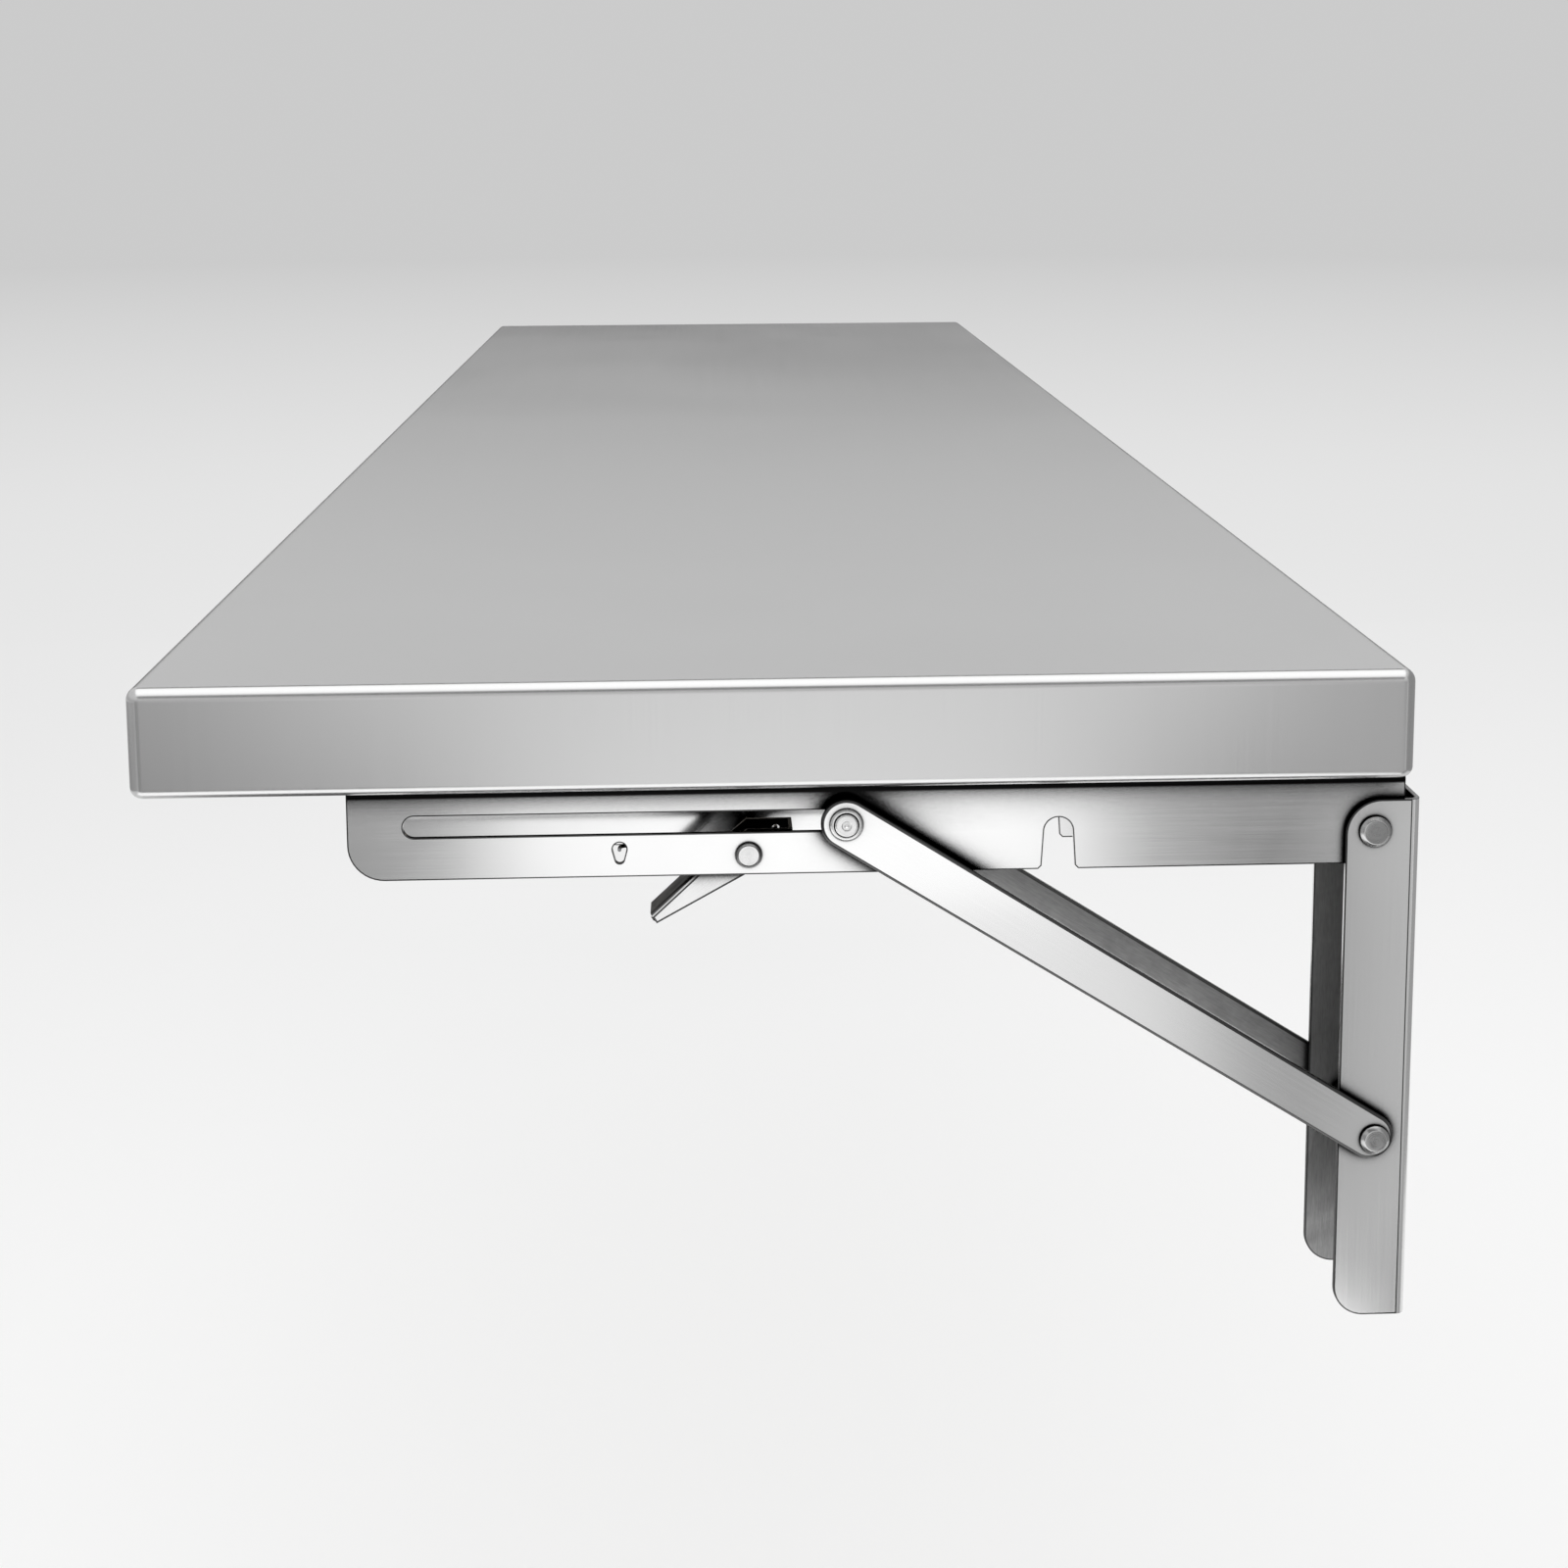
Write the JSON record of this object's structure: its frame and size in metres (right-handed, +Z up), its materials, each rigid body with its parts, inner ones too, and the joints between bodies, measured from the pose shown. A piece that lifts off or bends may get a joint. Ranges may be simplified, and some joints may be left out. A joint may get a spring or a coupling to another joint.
{
  "type": "wall mounted drop leaf table",
  "caption": "Rectangular sheet steel leaf on folding wall brackets, with sliding struts and sprung latch levers, that swings down flat against the wall.",
  "frame": {"origin": "wall plane, centre of the rectangle of wall holes", "axes": "+X along the wall, +Y into the wall, +Z up; the leaf stands out towards -Y"},
  "size_m": [1.2, 0.4045, 0.2176],
  "materials": {
    "pan_steel": "brushed along the length",
    "bracket_steel": "satin",
    "pin_steel": "turned",
    "lever_steel": "satin",
    "spring_steel": "drawn wire",
    "screw_steel": "plated",
    "board": "raw board",
    "nylon": "moulded"
  },
  "bodies": {
    "wall_mounts": {"wall_channel_right": "bracket_steel", "hinge_pin_right": "pin_steel", "strut_pivot_pin_right": "pin_steel", "wall_channel_left": "bracket_steel", "hinge_pin_left": "pin_steel", "strut_pivot_pin_left": "pin_steel"},
    "leaf": {"top_pan": "pan_steel", "core_board": "board", "arm_channel_right": "bracket_steel", "arm_screws_right": "screw_steel", "latch_pin_right": "pin_steel", "latch_spring_right": "spring_steel", "arm_channel_left": "bracket_steel", "arm_screws_left": "screw_steel", "latch_pin_left": "pin_steel", "latch_spring_left": "spring_steel"},
    "strut_right": {"strut_bar_outer_right": "bracket_steel", "strut_bar_inner_right": "bracket_steel", "strut_eye_rivets_right": "pin_steel"},
    "slide_right": {"slide_pin_right": "pin_steel", "slide_washers_right": "nylon"},
    "latch_right": {"latch_lever_right": "lever_steel"},
    "strut_left": {"strut_bar_outer_left": "bracket_steel", "strut_bar_inner_left": "bracket_steel", "strut_eye_rivets_left": "pin_steel"},
    "slide_left": {"slide_pin_left": "pin_steel", "slide_washers_left": "nylon"},
    "latch_left": {"latch_lever_left": "lever_steel"}
  },
  "joints": [
    {"name": "leaf_fold", "type": "hinge", "parent": "wall_mounts", "child": "leaf", "pos_m": [0, -0.0148, 0.0815], "axis": [1, 0, 0], "range_deg": [0, 90]},
    {"name": "strut_right_fold", "type": "hinge", "parent": "wall_mounts", "child": "strut_right", "pos_m": [0.575, -0.0129, -0.0204], "axis": [1, 0, 0], "range_deg": [0, 120.12]},
    {"name": "slide_pin_right_slide", "type": "slide", "parent": "leaf", "child": "slide_right", "axis": [0, -1, 0], "range_m": [0, 0.135]},
    {"name": "latch_right_press", "type": "hinge", "parent": "leaf", "child": "latch_right", "pos_m": [0.575, -0.2138, 0.0768], "axis": [-1, 0, 0], "range_deg": [0, 26], "stiffness_Nm_per_rad": 0.3, "springref_deg": -11.46, "deforming": ["latch_spring_right"]},
    {"name": "strut_left_fold", "type": "hinge", "parent": "wall_mounts", "child": "strut_left", "pos_m": [-0.575, -0.0129, -0.0204], "axis": [1, 0, 0], "range_deg": [0, 120.12]},
    {"name": "slide_pin_left_slide", "type": "slide", "parent": "leaf", "child": "slide_left", "axis": [0, -1, 0], "range_m": [0, 0.135]},
    {"name": "latch_left_press", "type": "hinge", "parent": "leaf", "child": "latch_left", "pos_m": [-0.575, -0.2138, 0.0768], "axis": [-1, 0, 0], "range_deg": [0, 26], "stiffness_Nm_per_rad": 0.3, "springref_deg": -11.46, "deforming": ["latch_spring_left"]}
  ],
  "couplings": [
    {"joint": "strut_right_fold", "follows": "leaf_fold", "ratio": 1.3346},
    {"joint": "slide_pin_right_slide", "follows": "leaf_fold", "m_per_rad": 0.085912},
    {"joint": "strut_left_fold", "follows": "leaf_fold", "ratio": 1.3346},
    {"joint": "slide_pin_left_slide", "follows": "leaf_fold", "m_per_rad": 0.085912}
  ]
}
